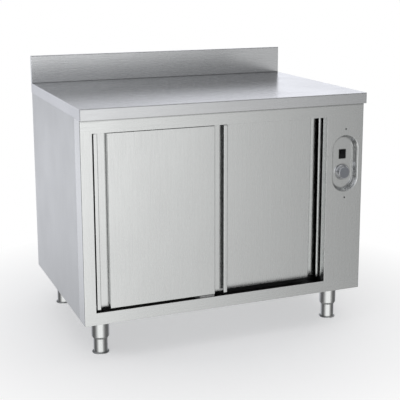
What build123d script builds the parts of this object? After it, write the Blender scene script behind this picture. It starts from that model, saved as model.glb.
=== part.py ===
from build123d import *
import math
import os

# Heated plate cabinet: a double-skinned stainless cupboard on four adjustable legs.
# +Z is up, -Y is the front, +X is to the right as seen from the front.
# The origin is the centre of the overall box, at floor level.  All lengths are millimetres.

# ---- overall sizes --------------------------------------------------------------------------
WIDTH = 1000.0               # worktop, left to right
DEPTH = 700.0                # worktop, front to back
WORKTOP_HEIGHT = 823.0       # top of the worktop, feet wound right in
FASCIA_HEIGHT = 36.0         # folded edge of the worktop
UPSTAND_HEIGHT = 100.0       # splashback above the worktop
UPSTAND_THICK = 15.0
LEG_HEIGHT = 128.0           # floor to the underside of the body, feet wound right in

# ---- sheet ----------------------------------------------------------------------------------
WORKTOP_SHEET = 1.5
SHEET = 1.2                  # body panels and liners
DOOR_SHEET = 1.0
FOLD_RADIUS = 1.3            # inside radius of a fold
EDGE_RADIUS = 2.5            # outside radius of the frame's corners
WORKTOP_RETURN = 15.0        # flange turned in under the worktop
PANEL_FLANGE = 20.0          # flange turned in round a body panel
STIFFENER_SPACING = 280.0    # between the two rails under the worktop
STIFFENER_CROWN = 60.0
STIFFENER_BRIM = 14.0
STIFFENER_DROP = 26.0

# ---- body against worktop -------------------------------------------------------------------
RIGHT_OVERHANG = 6.0         # the body is flush with the worktop on the left
FRONT_SETBACK = 8.0
REAR_SETBACK = 2.0

# ---- front frame ----------------------------------------------------------------------------
LEFT_STILE = 38.5
CONTROL_COLUMN = 140.0
BOTTOM_RAIL = 40.0
HEADER = 42.0
SIDE_RETURN = 65.0           # how far the frame wraps round each side
JAMB_RETURN = 28.0           # how far the opening's edges turn in
FRAME_TOP_FLANGE = 30.0
HEADER_HEM_GAP = 2.0         # header's turned-in edge stops this far before the front door
PANEL_INSET = 0.8            # side panel behind the frame's side return
PANEL_TONGUE = 12.0          # strip of side panel tucked under that return
SEAM_GAP = 0.4
BASE_RIM = 15.0              # upturned edge of the base panel

# ---- cabinet space --------------------------------------------------------------------------
LINER_BEHIND_JAMB = 0.3      # liners start this far behind the jamb
PARTITION_OFFSET = 6.0       # partition to the right of the opening's edge
LINER_REAR_GAP = 46.0        # rear liner in front of the rear panel
LINER_FLANGE = 10.0          # flange turned out at a liner's front edge
TROUGH_DEPTH = 18.0          # door trough below the cabinet floor

# ---- sliding doors --------------------------------------------------------------------------
DOOR_SETBACK = 8.0           # front door's face behind the frame
DOOR_THICK = 26.0
DOOR_RUNNING_GAP = 4.0       # between the two doors
DOOR_FLOOR_GAP = 7.0         # door's lower edge above the bottom rail
DOOR_TOP_GAP = 3.5           # door's upper edge below the header's
DOOR_SIDE_GAP = 5.4          # closed front door to the left jamb
REAR_DOOR_LAP = 1.8          # closed rear door behind the right jamb
DOOR_OVERLAP = 84.0
LIP_WIDTH = 13.0             # grip: the strip that the fingers hook behind
LIP_HEM = 3.0
GRIP_GAP = 31.0              # grip: mouth of the channel
GRIP_DEPTH = 20.0
DOOR_SLOT = 9.0              # slot along the door's lower edge, for the floor guide
DOOR_EDGE_FLANGE = 8.0       # turned-in edge in front of that slot
DOOR_FOLD = 0.8              # inside radius of the door's folds

# ---- door hangers, rollers and track --------------------------------------------------------
TRACK_SHEET = 1.5
RAIL_RISE = 10.0             # upturned edge that the roller sits on
TRACK_ABOVE_OPENING = 11.0
RAIL_FROM_FACE = 12.0        # rail's middle behind the door's face
HOOK_FRONT = 9.0             # track's web in front of the rail
ROLLER_GROOVE_RADIUS = 8.0
ROLLER_RADIUS = 9.6
ROLLER_WIDTH = 8.0
ROLLER_RIDE = 0.3            # rail's edge to the groove
ROLLER_INSET = 70.0          # roller's axis from the door's end
PIN_RADIUS = 2.5
PIN_CLEARANCE = 0.05
PIN_HEAD_RADIUS = 3.9
PIN_HEAD = 1.0
ROLLER_SIDE_PLAY = 0.4
HANGER_THICK = 2.0
HANGER_WIDTH = 36.0
HANGER_CORNER = 6.0
HANGER_BEHIND_ROLLER = 0.6

# ---- floor guide ----------------------------------------------------------------------------
GUIDE_LENGTH = 50.0
GUIDE_FIN_LENGTH = 30.0
GUIDE_FIN_THICK = 5.0
GUIDE_FIN_RISE = 9.0         # into the door's slot
GUIDE_FIN_INSET = 4.0        # fin inside the rear door's end
GUIDE_FIN_GAP = 3.0          # slot's depth beyond the fin
GUIDE_GAP = 1.5              # top of the guide to the door's lower edge
GUIDE_BEFORE_DOOR = 14.0     # guide starts this far before the rear door's end
GUIDE_FRONT_SHOW = 2.0       # guide in front of the front door's face
GUIDE_BACK_INSET = 4.0

# ---- control dish ---------------------------------------------------------------------------
DISH_HALF_WIDTH = 50.5       # stadium's end radius, at the face of the frame
DISH_STRAIGHT = 98.0         # between the centres of the stadium's ends
DISH_DROP = 205.7            # dish's centre below the underside of the worktop
DISH_FROM_RIGHT = 67.0       # dish's centre from the body's right side
COLLAR_ROLL = 3.0            # rolled edge of the cut-out
COLLAR_DEPTH = 6.5
DISH_SHEET = 1.0
DISH_DEPTH = 21.5            # floor of the dish behind the face of the frame
DISH_FLOOR_INSET = 9.8
DISH_FLANGE = 11.0
DISH_FOLD = 1.5              # inside radius of the fold round the dish's floor
DISH_SHOULDER = 2.5          # slope starts this far behind the collar
DISH_EAR = 9.0               # half the width of a screw's ear
DISH_COLLAR_GAP = 0.6        # dish's wall outside the collar
DISH_SCREW_SPACING = 239.0
DISH_SCREW_RADIUS = 2.1
DISH_SCREW_CLEARANCE = 0.1
DISH_SCREW_HEAD_RADIUS = 2.5
DISH_SCREW_HEAD = 1.0
DISH_SCREW_TIP = 2.0
SWITCH_ABOVE = 29.5          # rocker switch above the dish's centre
KNOB_BELOW = 33.0

SWITCH_WIDTH = 26.0
SWITCH_HEIGHT = 32.5
SWITCH_BEZEL = 2.0
SWITCH_BODY_DEPTH = 22.0
SWITCH_RIM = 3.0
SWITCH_CORNER = 1.0
SWITCH_TERMINAL_PITCH = 9.0
SWITCH_CASE_INSET = 2.0      # case inside the bezel's outline
SWITCH_BACK_WALL = 6.0
ROCKER_CLEARANCE = 0.4
ROCKER_TILT = 10.0
ROCKER_PIVOT_RADIUS = 1.5
ROCKER_PIVOT_DEPTH = 0.2     # pivot behind the dish's floor
ROCKER_CROWN = 2.0           # rocker's middle in front of its pivot
ROCKER_ROOT = 6.0            # and behind it

KNOB_SKIRT_RADIUS = 25.0
KNOB_FACE_RADIUS = 20.0
KNOB_HEIGHT = 18.0
KNOB_GAP = 0.8               # skirt above the dish's floor
KNOB_SKIRT_EDGE = 2.0
KNOB_POINTER_WIDTH = 1.6
KNOB_POINTER_DEPTH = 0.8
KNOB_POINTER_START = 9.0     # from the axis
KNOB_POINTER_LENGTH = 9.0
KNOB_SEAT = 10.8             # how far the spindle reaches into the knob
SPINDLE_RADIUS = 3.0
SPINDLE_HOLE_CLEARANCE = 1.0
SPINDLE_SEAT = 12.8          # how far the spindle reaches into the thermostat
THERMOSTAT_SIDE = 44.0
THERMOSTAT_DEPTH = 32.0
THERMOSTAT_CORNER = 5.0

# ---- legs -----------------------------------------------------------------------------------
LEG_INSET_SIDE = 73.6        # leg's axis from the body's side
LEG_INSET_FRONT = 90.0
LEG_RADIUS = 29.4
LEG_WALL = 2.0
LEG_NECK_TOP = 58.0          # where the tube starts to taper
LEG_NECK_BOTTOM = 50.0
LEG_NECK_LIP = 0.5           # wall where the neck closes on the stem
LEG_PLATE = 90.0
LEG_PLATE_THICK = 3.0
LEG_PLATE_CORNER = 10.0
LEG_SCREW_SPACING = 60.0
LEG_SCREW_RADIUS = 4.0
LEG_SCREW_TIP = 4.5          # beyond the base
LEG_SCREW_CLEARANCE = 0.2
LEG_SCREW_FLATS = 12.0
LEG_SCREW_HEAD = 4.0
FOOT_STEM_RADIUS = 23.3
FOOT_CLEARANCE = 0.3
FOOT_FLANGE_RADIUS = 28.4
FOOT_FLANGE_THICK = 3.0
FOOT_FLANGE_BEVEL = 0.8
FOOT_WALL = 1.5
FOOT_TOP = 112.0
FOOT_NUT_HEIGHT = 12.0
SPINDLE_THREAD_RADIUS = 8.0
SPINDLE_BOTTOM = 24.0

# ---- shelf ----------------------------------------------------------------------------------
SHELF_HEIGHT = 288.0         # above the cabinet floor
SHELF_EDGE = 30.0
SHELF_HEM = 12.0
SHELF_END_GAP = 3.0
SHELF_SETBACK = 12.0
SHELF_REAR_GAP = 2.0
SHELF_SLOT_COUNT = 7         # air slots along each end
SHELF_SLOT_LENGTH = 46.0
SHELF_SLOT_WIDTH = 8.0
SHELF_SLOT_INSET = 70.0
BEARER_WIDTH = 22.0
BEARER_BEHIND_HEM = 6.0

# ---- air circuit ----------------------------------------------------------------------------
FAN_HEIGHT = 300.0           # fan's axis above the cabinet floor
FAN_FROM_REAR = 300.0        # fan's axis in front of the rear liner
INLET_RADIUS = 46.0          # fan's inlet grille in the partition
INLET_SLOTS = 7
INLET_PITCH = 12.0
OUTLET_LENGTH = 46.0
OUTLET_PITCH = 14.0
AIR_SLOT = 6.0
FAN_RADIUS = 60.0
FAN_BLADES = 9
FAN_WIDTH = 22.0
FAN_PLATE = 1.2
FAN_BLADE = 1.0
FAN_BLADE_FOLD = 30.0
FAN_BLADE_INNER = 27.0       # blade's root from the axis
FAN_BLADE_SWEEP = 24.0       # degrees that the blade's tip trails its root
FAN_BLADE_EDGE = 1.5
FAN_HUB_RADIUS = 12.0
FAN_FROM_BACK = 8.0
SHAFT_RADIUS = 3.0
SHAFT_SEAT = 14.0            # how far the shaft reaches into the motor
DUCT_DEPTH = 42.0
DUCT_WIDTH = 214.0
DUCT_HEIGHT = 244.0
DUCT_SHEET = 1.0
DUCT_FLANGE = 10.0
SHAFT_HOLE_CLEARANCE = 3.0   # round the shaft where it passes through the duct
HEATER_HALF = 80.0           # half the side of the element's loop
HEATER_BEND = 24.0
HEATER_FROM_BACK = 19.0      # loop's plane inside the duct's back
HEATER_TERMINAL = 12.0       # ends beyond the duct
HEATER_TUBE_RADIUS = 4.0
HEATER_END_RADIUS = 5.0      # unheated ends
HEATER_GAP = 44.0            # between the two ends
MOTOR_RADIUS = 34.0
MOTOR_LENGTH = 44.0
MOTOR_COLLAR = 31.0          # length of the motor's wide end
MOTOR_CAP_RADIUS = 27.0
BRACKET_SHEET = 2.0
BRACKET_RISE = 7.0           # motor's front off the duct
BRACKET_HALF_WIDTH = 18.0
BRACKET_FOOT = 12.0
BRACKET_BESIDE_MOTOR = 10.0
CUTOUT_OFFSET = 80.0         # snap-disc cut-out from the fan's axis, along Y and Z
CUTOUT_RADIUS = 8.0
CUTOUT_DEPTH = 7.0
BLADE_LENGTH = 8.0           # blade terminals
BLADE_WIDTH = 6.4
BLADE_THICK = 0.8
LOUVRE_LENGTH = 84.0
LOUVRE_HEIGHT = 8.0
LOUVRE_PITCH = 18.0
LOUVRE_COUNT = 8
LOUVRE_RISE = 3.0
LOUVRE_SKIN = 0.8
LOUVRE_MARGIN_LOW = 30.0     # lowest louvre above the cabinet floor
LOUVRE_MARGIN_HIGH = 40.0
REAR_SCREW_ROWS = 4
REAR_SCREW_RADIUS = 2.0
REAR_SCREW_CLEARANCE = 0.1
REAR_SCREW_TIP = 3.0
REAR_SCREW_HEAD_RADIUS = 4.0
REAR_SCREW_HEAD = 1.8
REAR_SCREW_INSET = 12.0      # from the side panel's outside

# ---- supply ---------------------------------------------------------------------------------
GLAND_RADIUS = 9.8
GLAND_BORE = 5.5
GLAND_HOLE_CLEARANCE = 0.2
GLAND_FLATS = 27.0
GLAND_NUT_FLATS = 25.0
GLAND_NUT = 5.0
GLAND_COLLAR = 7.0
GLAND_DROP = 25.0            # gland's mouth below the base
GLAND_THREAD_SHOW = 4.0      # thread above the nut
GLAND_NOSE_RADIUS = 11.5
GLAND_MOUTH_RADIUS = 9.0
GLAND_NOSE_TAPER = 5.0
GLAND_FROM_REAR = 22.0
TERMINAL_FROM_REAR = 102.0   # terminal block's front from the rear panel
TERMINAL_WAYS = 5
TERMINAL_PITCH = 10.0
TERMINAL_DEPTH = 22.0
TERMINAL_HEIGHT = 18.0
TERMINAL_BORE = 4.4          # square wire ways
TERMINAL_BORE_HEIGHT = 5.0
TERMINAL_WELL = 8.0          # screw wells
TERMINAL_WELL_DEPTH = 6.0

# ---- worked out from the above --------------------------------------------------------------
body_left = -WIDTH / 2
body_right = WIDTH / 2 - RIGHT_OVERHANG
body_front = -DEPTH / 2 + FRONT_SETBACK
body_back = DEPTH / 2 - REAR_SETBACK
body_bottom = LEG_HEIGHT
body_top = WORKTOP_HEIGHT - FASCIA_HEIGHT
base_bottom = body_bottom + SHEET
base_top = base_bottom + SHEET

opening_left = body_left + LEFT_STILE
opening_right = body_right - CONTROL_COLUMN
opening_bottom = body_bottom + BOTTOM_RAIL
opening_top = body_top - HEADER

frame_inside = body_front + SHEET
jamb_end = body_front + JAMB_RETURN
liner_front = jamb_end + LINER_BEHIND_JAMB
left_liner_face = opening_left - SHEET
partition_face = opening_right + PARTITION_OFFSET
rear_panel_outside = body_back - SHEET
rear_panel_inside = rear_panel_outside - SHEET
rear_liner_face = rear_panel_inside - LINER_REAR_GAP
left_panel_inside = body_left + PANEL_INSET + SHEET
right_panel_inside = body_right - PANEL_INSET - SHEET
panel_front = body_front + SIDE_RETURN + SEAM_GAP

front_door_face = body_front + DOOR_SETBACK
door_pitch = DOOR_THICK + DOOR_RUNNING_GAP
rear_door_face = front_door_face + door_pitch
door_bottom = opening_bottom + DOOR_FLOOR_GAP
door_top = opening_top - DOOR_TOP_GAP
door_width = (opening_right + REAR_DOOR_LAP - opening_left - DOOR_SIDE_GAP + DOOR_OVERLAP) / 2
front_door_left = opening_left + DOOR_SIDE_GAP
rear_door_left = opening_right + REAR_DOOR_LAP - door_width
cabinet_front = rear_door_face + door_pitch
trough_bottom = opening_bottom - TROUGH_DEPTH
track_top = body_top - SHEET
rail_top = opening_top + TRACK_ABOVE_OPENING + RAIL_RISE
roller_axis = rail_top + ROLLER_RIDE + ROLLER_GROOVE_RADIUS
dish_x = body_right - DISH_FROM_RIGHT
dish_z = body_top - DISH_DROP
dish_floor = body_front + DISH_DEPTH
fan_y = rear_liner_face - FAN_FROM_REAR
fan_z = opening_bottom + FAN_HEIGHT
duct_back = partition_face + SHEET + DUCT_DEPTH
motor_front = duct_back + BRACKET_RISE
shelf_top = opening_bottom + SHELF_HEIGHT
switch_z = dish_z + SWITCH_ABOVE
switch_front = dish_floor - SWITCH_BEZEL
rocker_y = dish_floor + ROCKER_PIVOT_DEPTH
knob_z = dish_z - KNOB_BELOW
gland_x = (partition_face + right_panel_inside) / 2
gland_y = rear_panel_inside - GLAND_FROM_REAR


# ---- shared shapes --------------------------------------------------------------------------
def block(x0, x1, y0, y1, z0, z1):
    """A box from its lowest to its highest corner."""
    return Pos(x0, y0, z0) * Box(x1 - x0, y1 - y0, z1 - z0, align=(Align.MIN, Align.MIN, Align.MIN))


def cylinder(radius, axis, start, end, a, b):
    """A cylinder along X, Y or Z from start to end; a and b are its other two coordinates."""
    plane = {"X": Plane.YZ, "Y": Plane.XZ, "Z": Plane.XY}[axis]
    direction = {"X": (1, 0, 0), "Y": (0, 1, 0), "Z": (0, 0, 1)}[axis]
    origin = {"X": (start, a, b), "Y": (a, start, b), "Z": (a, b, start)}[axis]
    disc = Plane(origin=origin, x_dir=plane.x_dir, z_dir=direction) * Circle(radius)
    return extrude(disc, amount=end - start, dir=direction)


def offset_path(points, distance):
    """The path moved sideways by distance, to its right, with mitred corners."""
    moved = []
    count = len(points)
    for i in range(count):
        normals = []
        for j in (i - 1, i):
            if 0 <= j < count - 1:
                dx = points[j + 1][0] - points[j][0]
                dy = points[j + 1][1] - points[j][1]
                length = math.hypot(dx, dy)
                normals.append((dy / length, -dx / length))
        nx = sum(n[0] for n in normals)
        ny = sum(n[1] for n in normals)
        scale = distance * len(normals) / (nx * nx + ny * ny)
        moved.append((points[i][0] + nx * scale, points[i][1] + ny * scale))
    return moved


def corner_turn(points, i):
    """Positive where the path turns left at its point i."""
    ax, ay = points[i][0] - points[i - 1][0], points[i][1] - points[i - 1][1]
    bx, by = points[i + 1][0] - points[i][0], points[i + 1][1] - points[i][1]
    return ax * by - ay * bx


def bent_strip(points, thickness, radius=FOLD_RADIUS, rounded=None):
    """The section of a folded sheet: points run along one face, the metal is to their right.

    Every fold has the inside radius, or only those whose points are listed in rounded.
    """
    other = offset_path(points, thickness)
    inner = range(1, len(points) - 1)
    near = [radius if corner_turn(points, i) > 0 else radius + thickness for i in inner]
    far = [radius + thickness if corner_turn(points, i) > 0 else radius for i in inner]
    if rounded is not None:
        near = [r if i in rounded else 0 for i, r in zip(inner, near)]
        far = [r if i in rounded else 0 for i, r in zip(inner, far)]
    if inner:
        first = FilletPolyline(*points, radius=near)
        second = FilletPolyline(*other, radius=far)
    else:
        first = Line(points[0], points[1])
        second = Line(other[0], other[1])
    ends = [Line(points[0], other[0]), Line(points[-1], other[-1])]
    return make_face([*first.edges(), *second.edges(), *ends])


def folded_along_x(points, thickness, x0, x1, radius=FOLD_RADIUS):
    """A folded sheet whose section lies in the Y-Z plane."""
    section = Plane.YZ.offset(x0) * bent_strip(points, thickness, radius)
    return extrude(section, amount=x1 - x0, dir=(1, 0, 0))


def folded_along_z(points, thickness, z0, z1, radius=FOLD_RADIUS):
    """A folded sheet whose section lies in the X-Y plane."""
    return extrude(Pos(0, 0, z0) * bent_strip(points, thickness, radius), amount=z1 - z0, dir=(0, 0, 1))


def stadium_press(section, x, z, straight):
    """A pressing with round ends: section gives radius and depth along Y from the stadium's spine."""
    half = straight / 2
    pieces = []
    for sign in (1, -1):
        spine = z + sign * half
        upright = Plane(origin=(x, 0, spine), x_dir=(1, 0, 0), z_dir=(0, 0, 1))
        face = upright * section
        pieces.append(revolve(face, axis=Axis((x, 0, spine), (0, 1, 0)), revolution_arc=-180 * sign))
    lower = Plane(origin=(x, 0, z - half), x_dir=(1, 0, 0), z_dir=(0, 0, 1))
    pieces.append(extrude(lower * section, amount=straight, dir=(0, 0, 1)))
    pieces.append(extrude(lower * mirror(section, about=Plane.YZ), amount=straight, dir=(0, 0, 1)))
    solid = pieces[0]
    for piece in pieces[1:]:
        solid = solid + piece
    return solid


def stadium_prism(radius, straight, x, z, y0, y1):
    """A solid stadium along Y."""
    solid = block(x - radius, x + radius, y0, y1, z - straight / 2, z + straight / 2)
    for sign in (1, -1):
        solid = solid + cylinder(radius, "Y", y0, y1, x, z + sign * straight / 2)
    return solid


def hex_head(across_flats, height, x, y, z):
    """A hexagon standing on z."""
    return extrude(Pos(x, y, z) * RegularPolygon(across_flats / 2, 6, major_radius=False), amount=height)


# ---- worktop --------------------------------------------------------------------------------
def make_worktop():
    """A folded pan with an upstand, open underneath."""
    x0, x1, y0, y1 = -WIDTH / 2, WIDTH / 2, -DEPTH / 2, DEPTH / 2
    t = WORKTOP_SHEET
    slab = block(x0, x1, y0, y1, body_top, WORKTOP_HEIGHT)
    upstand = block(x0, x1, y1 - UPSTAND_THICK, y1, body_top, WORKTOP_HEIGHT + UPSTAND_HEIGHT)
    outer = slab + upstand
    front_corners = outer.edges().filter_by(Axis.Z).group_by(Axis.Y)[0]
    front_edge = outer.edges().filter_by(Axis.X).group_by(Axis.Y)[0].sort_by(Axis.Z)[-1]
    upstand_edges = outer.edges().filter_by(Axis.X).group_by(Axis.Z)[-1]
    outer = fillet([*front_corners, front_edge, *upstand_edges], EDGE_RADIUS)
    pan_hollow = block(x0 + t, x1 - t, y0 + t, y1 - t, body_top + t, WORKTOP_HEIGHT - t)
    upstand_hollow = block(x0 + t, x1 - t, y1 - UPSTAND_THICK + t, y1 - t, body_top + t,
                           WORKTOP_HEIGHT + UPSTAND_HEIGHT - t)
    r = WORKTOP_RETURN
    underside = block(x0 + r, x1 - r, y0 + r, y1 - r, body_top - t, body_top + 2 * t)
    return outer - pan_hollow - upstand_hollow - underside


def make_worktop_stiffener(y):
    """A hat-section rail bonded under the worktop."""
    top = WORKTOP_HEIGHT - WORKTOP_SHEET
    low = top - STIFFENER_DROP
    half = STIFFENER_CROWN / 2
    brim = half + STIFFENER_BRIM
    path = [(y - brim, top), (y - half, top), (y - half, low),
            (y + half, low), (y + half, top), (y + brim, top)]
    end_gap = 2 * WORKTOP_RETURN
    return folded_along_x(path, SHEET, -WIDTH / 2 + end_gap, WIDTH / 2 - end_gap)


# ---- front frame ----------------------------------------------------------------------------
def dish_screw_points():
    return [(dish_x, dish_z + s * DISH_SCREW_SPACING / 2) for s in (1, -1)]


def make_front_frame():
    """One folded sheet: face with the door opening and the dish cut-out, wrapped round both sides."""
    outer = block(body_left, body_right, body_front, body_front + SIDE_RETURN, body_bottom, body_top)
    outer = fillet(outer.edges().filter_by(Axis.Z).group_by(Axis.Y)[0], EDGE_RADIUS)
    inner = block(body_left + SHEET, body_right - SHEET, frame_inside, body_front + 2 * SIDE_RETURN,
                  body_bottom - SHEET, body_top + SHEET)
    inner = fillet(inner.edges().filter_by(Axis.Z).group_by(Axis.Y)[0], EDGE_RADIUS - SHEET)
    frame = outer - inner
    for z0, z1 in ((body_bottom, base_bottom), (track_top, body_top)):
        depth = FRAME_TOP_FLANGE if z1 == body_top else PANEL_FLANGE
        frame = frame + block(body_left + SHEET, body_right - SHEET, frame_inside - SHEET / 2,
                              body_front + depth, z0, z1)
    frame = frame - block(opening_left, opening_right, body_front - SHEET, frame_inside + SHEET,
                          opening_bottom, opening_top)
    hem = DOOR_SETBACK - HEADER_HEM_GAP
    for x in (opening_left - SHEET, opening_right):
        frame = frame + block(x, x + SHEET, body_front, jamb_end, opening_bottom, opening_top)
    frame = frame + block(opening_left + SEAM_GAP, opening_right - SEAM_GAP, body_front, body_front + hem,
                          opening_top, opening_top + SHEET)
    fold = SHEET * 0.8
    jamb_edges = [e for e in frame.edges().filter_by(Axis.Z)
                  if abs(e.center().Y - body_front) < 0.01 and e.length > (opening_top - opening_bottom) * 0.9
                  and opening_left - SHEET < e.center().X < opening_right + SHEET]
    frame = fillet(jamb_edges, fold)
    frame = frame - stadium_prism(DISH_HALF_WIDTH + COLLAR_ROLL / 2, DISH_STRAIGHT, dish_x, dish_z,
                                  body_front - SHEET, frame_inside + SHEET)
    wall = DISH_HALF_WIDTH - COLLAR_ROLL
    section = bent_strip([(DISH_HALF_WIDTH + COLLAR_ROLL, body_front), (wall, body_front),
                          (wall, body_front + COLLAR_DEPTH)], SHEET, COLLAR_ROLL - SHEET)
    frame = frame + stadium_press(section, dish_x, dish_z, DISH_STRAIGHT)
    for x, z in dish_screw_points():
        frame = frame - cylinder(DISH_SCREW_RADIUS, "Y", body_front - SHEET, frame_inside + SHEET, x, z)
    return frame


# ---- outer panels ---------------------------------------------------------------------------
def rear_screw_points():
    z0 = base_top + 3 * PANEL_FLANGE
    step = (body_top - PANEL_FLANGE - z0) / (REAR_SCREW_ROWS - 1)
    inset = PANEL_INSET + REAR_SCREW_INSET
    return [(x, z0 + i * step) for i in range(REAR_SCREW_ROWS) for x in (body_left + inset, body_right - inset)]


def make_side_panel(right):
    """A side panel with flanges at the top, foot and rear and a tongue under the frame's return."""
    outside = body_left + PANEL_INSET
    panel = block(outside, outside + PANEL_FLANGE, panel_front, body_back, body_bottom, body_top)
    panel = fillet(panel.edges().filter_by(Axis.Z).sort_by(Axis.Y)[-2:].sort_by(Axis.X)[0], EDGE_RADIUS)
    panel = panel - block(outside + SHEET, outside + 2 * PANEL_FLANGE, panel_front - SHEET, body_back - SHEET,
                          base_bottom, track_top)
    panel = panel - block(outside + SHEET, outside + 2 * PANEL_FLANGE, panel_front - SHEET, panel_front + SHEET,
                          body_bottom - SHEET, body_top + SHEET)
    tongue = block(body_left + SHEET, body_left + 2 * SHEET, body_front + SIDE_RETURN - PANEL_TONGUE,
                   panel_front + SHEET, body_bottom, body_top)
    panel = panel + tongue
    middle = (body_left + body_right) / 2
    for x, z in rear_screw_points():
        if x < middle:
            panel = panel - cylinder(REAR_SCREW_RADIUS + REAR_SCREW_CLEARANCE, "Y", rear_panel_outside - SHEET,
                                     body_back + SHEET, x, z)
    if right:
        panel = mirror(panel, about=Plane.YZ.offset(middle))
    return panel


def louvre_rows():
    """The lower edge of each louvre, in two stacks."""
    stack = (LOUVRE_COUNT - 1) * LOUVRE_PITCH
    lower = opening_bottom + LOUVRE_MARGIN_LOW
    upper = opening_top - LOUVRE_MARGIN_HIGH - stack
    return [start + i * LOUVRE_PITCH for start in (lower, upper) for i in range(LOUVRE_COUNT)]


def make_rear_panel():
    """The rear panel, with pressed louvres behind the technical compartment."""
    panel = block(left_panel_inside, right_panel_inside, rear_panel_inside, rear_panel_outside,
                  base_bottom, track_top)
    middle = (partition_face + right_panel_inside) / 2
    skin = LOUVRE_SKIN
    for z in louvre_rows():
        hoods = []
        for inset in (0.0, skin):
            face = rear_panel_outside - inset * 1.5
            corners = [(face, z - inset), (rear_panel_outside + LOUVRE_RISE - inset, z - inset),
                       (rear_panel_outside + LOUVRE_RISE * 0.6 - inset, z + LOUVRE_HEIGHT * 0.6),
                       (face, z + LOUVRE_HEIGHT)]
            start = middle - LOUVRE_LENGTH / 2 + inset
            profile = Plane.YZ.offset(start) * make_face(Polyline(*corners, close=True))
            hoods.append(extrude(profile, amount=LOUVRE_LENGTH - 2 * inset, dir=(1, 0, 0)))
        slot = block(middle - LOUVRE_LENGTH / 2 + skin, middle + LOUVRE_LENGTH / 2 - skin,
                     rear_panel_inside - SHEET, rear_panel_outside, z, z + LOUVRE_HEIGHT - 2 * skin)
        panel = panel + hoods[0] - hoods[1] - slot
    for x, z in rear_screw_points():
        panel = panel - cylinder(REAR_SCREW_RADIUS + REAR_SCREW_CLEARANCE, "Y", rear_panel_inside - SHEET,
                                 rear_panel_outside + SHEET, x, z)
    return panel


def leg_points():
    xs = (body_left + LEG_INSET_SIDE, body_right - LEG_INSET_SIDE)
    ys = (body_front + LEG_INSET_FRONT, body_back - LEG_INSET_FRONT)
    return {"front_left": (xs[0], ys[0]), "front_right": (xs[1], ys[0]),
            "rear_left": (xs[0], ys[1]), "rear_right": (xs[1], ys[1])}


def leg_screw_points():
    h = LEG_SCREW_SPACING / 2
    return [(x + i * h, y + j * h) for x, y in leg_points().values() for i in (-1, 1) for j in (-1, 1)]


def make_base_panel():
    """The floor of the body, standing on the frame's and side panels' lower flanges."""
    x0, x1 = body_left + 2 * SHEET, body_right - 2 * SHEET
    panel = block(x0, x1, frame_inside, rear_panel_inside, base_bottom, base_bottom + BASE_RIM)
    panel = panel - block(x0 - SHEET, x1 + SHEET, frame_inside + SHEET, rear_panel_inside - SHEET,
                          base_top, base_bottom + 2 * BASE_RIM)
    for x, y in leg_screw_points():
        panel = panel - cylinder(LEG_SCREW_RADIUS + LEG_SCREW_CLEARANCE, "Z", base_bottom - SHEET,
                                 base_top + SHEET, x, y)
    return panel - cylinder(GLAND_RADIUS + GLAND_HOLE_CLEARANCE, "Z", base_bottom - SHEET, base_top + SHEET,
                            gland_x, gland_y)


# ---- liners ---------------------------------------------------------------------------------
def make_liner_left():
    outside = left_liner_face - SHEET
    liner = block(outside, left_liner_face, liner_front, rear_liner_face + SHEET, base_top, track_top)
    return liner + block(outside - LINER_FLANGE, outside + SHEET / 2, liner_front, liner_front + SHEET,
                         base_top, track_top)


def make_partition():
    """The wall of the technical compartment: air inlet in front of the fan, outlets above and below it."""
    outside = partition_face + SHEET
    wall = block(partition_face, outside, liner_front, rear_liner_face + SHEET, base_top, track_top)
    wall = wall + block(partition_face + SHEET / 2, outside + LINER_FLANGE, liner_front, liner_front + SHEET,
                        base_top, track_top)
    for i in range(INLET_SLOTS):
        z = fan_z + (i - (INLET_SLOTS - 1) / 2) * INLET_PITCH
        half = math.sqrt(INLET_RADIUS ** 2 - (z - fan_z) ** 2)
        wall = wall - block(partition_face - SHEET, outside + SHEET, fan_y - half, fan_y + half,
                            z - AIR_SLOT / 2, z + AIR_SLOT / 2)
    half = OUTLET_LENGTH / 2
    for side in (-1, 1):
        for row in (1, 2):
            z = fan_z + side * (DUCT_HEIGHT / 2 - row * OUTLET_PITCH)
            for column in (-1, 0, 1):
                y = fan_y + column * (OUTLET_LENGTH + OUTLET_PITCH)
                wall = wall - block(partition_face - SHEET, outside + SHEET, y - half, y + half,
                                    z - AIR_SLOT / 2, z + AIR_SLOT / 2)
    return wall


def make_liner_rear():
    return block(left_liner_face, partition_face, rear_liner_face, rear_liner_face + SHEET,
                 opening_bottom - SHEET, opening_top + SHEET)


def make_liner_ceiling():
    path = [(rear_liner_face, opening_top), (cabinet_front, opening_top), (cabinet_front, track_top)]
    return folded_along_x(path, SHEET, left_liner_face, partition_face)


def make_liner_floor():
    """Cabinet floor and door trough in one sheet: the trough hides the floor guide below the doors."""
    under = opening_bottom - SHEET
    path = [(rear_liner_face, under), (cabinet_front + SHEET, under), (cabinet_front + SHEET, trough_bottom),
            (frame_inside, trough_bottom), (frame_inside, under)]
    return folded_along_x(path, SHEET, left_liner_face, partition_face)


def make_insulation_left():
    return block(left_panel_inside, left_liner_face - SHEET, panel_front + 2 * SHEET,
                 rear_panel_inside - PANEL_FLANGE, base_top + SHEET, track_top - SHEET)


def make_insulation_rear():
    return block(left_liner_face, partition_face, rear_liner_face + SHEET, rear_panel_inside - SHEET,
                 base_bottom + BASE_RIM + SHEET, track_top - SHEET)


def make_insulation_top():
    return block(left_liner_face, partition_face, cabinet_front + SHEET + FOLD_RADIUS, rear_liner_face,
                 opening_top + SHEET, track_top - SHEET)


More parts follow.
